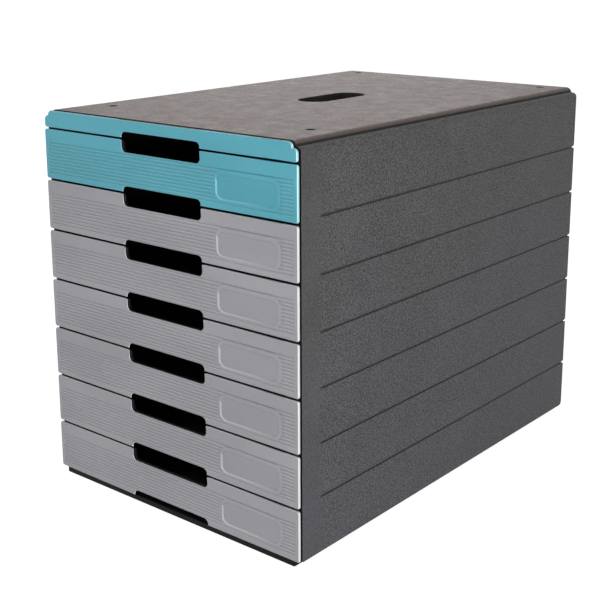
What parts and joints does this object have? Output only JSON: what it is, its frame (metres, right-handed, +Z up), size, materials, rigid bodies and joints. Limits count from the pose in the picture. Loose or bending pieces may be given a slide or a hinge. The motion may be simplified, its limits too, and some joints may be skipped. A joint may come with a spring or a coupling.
{
  "type": "drawer box",
  "caption": "Desktop drawer box of moulded plastic: a grained housing with shallow pull-out drawers, ribbed fronts with finger cut-outs and label fields, and a carrying slot in the top.",
  "frame": {"origin": "on the ground, at the middle of the box's footprint", "axes": "+Z up, +X to the right of someone facing the drawers, +Y from the drawer fronts to the back"},
  "size_m": [0.25, 0.375, 0.2964],
  "materials": {
    "housing": "fine grained charcoal plastic",
    "lid": "fine grained charcoal plastic, slightly brownish",
    "teal": "satin teal plastic",
    "front": "satin light grey plastic",
    "tray": "smooth black plastic",
    "base": "satin black plastic",
    "rubber": "black rubber",
    "steel": "blackened steel"
  },
  "bodies": {
    "housing": {"top_panel": "lid", "side_panel_left": "housing", "side_panel_right": "housing", "back_panel": "housing", "base_panel": "base", "front_fascia": "teal", "lid_screws": "steel", "base_screws": "steel", "foot_front_left": "rubber", "foot_front_right": "rubber", "foot_rear_left": "rubber", "foot_rear_right": "rubber"},
    "drawer_1": {"drawer_tray_1": "tray", "drawer_front_1": "teal"},
    "drawer_2": {"drawer_tray_2": "tray", "drawer_front_2": "front"},
    "drawer_3": {"drawer_tray_3": "tray", "drawer_front_3": "front"},
    "drawer_4": {"drawer_tray_4": "tray", "drawer_front_4": "front"},
    "drawer_5": {"drawer_tray_5": "tray", "drawer_front_5": "front"},
    "drawer_6": {"drawer_tray_6": "tray", "drawer_front_6": "front"},
    "drawer_7": {"drawer_tray_7": "tray", "drawer_front_7": "front"}
  },
  "joints": [
    {"name": "drawer_1_slide", "type": "slide", "parent": "housing", "child": "drawer_1", "axis": [0, -1, 0], "range_m": [0, 0.26]},
    {"name": "drawer_2_slide", "type": "slide", "parent": "housing", "child": "drawer_2", "axis": [0, -1, 0], "range_m": [0, 0.26]},
    {"name": "drawer_3_slide", "type": "slide", "parent": "housing", "child": "drawer_3", "axis": [0, -1, 0], "range_m": [0, 0.26]},
    {"name": "drawer_4_slide", "type": "slide", "parent": "housing", "child": "drawer_4", "axis": [0, -1, 0], "range_m": [0, 0.26]},
    {"name": "drawer_5_slide", "type": "slide", "parent": "housing", "child": "drawer_5", "axis": [0, -1, 0], "range_m": [0, 0.26]},
    {"name": "drawer_6_slide", "type": "slide", "parent": "housing", "child": "drawer_6", "axis": [0, -1, 0], "range_m": [0, 0.26]},
    {"name": "drawer_7_slide", "type": "slide", "parent": "housing", "child": "drawer_7", "axis": [0, -1, 0], "range_m": [0, 0.26]}
  ]
}
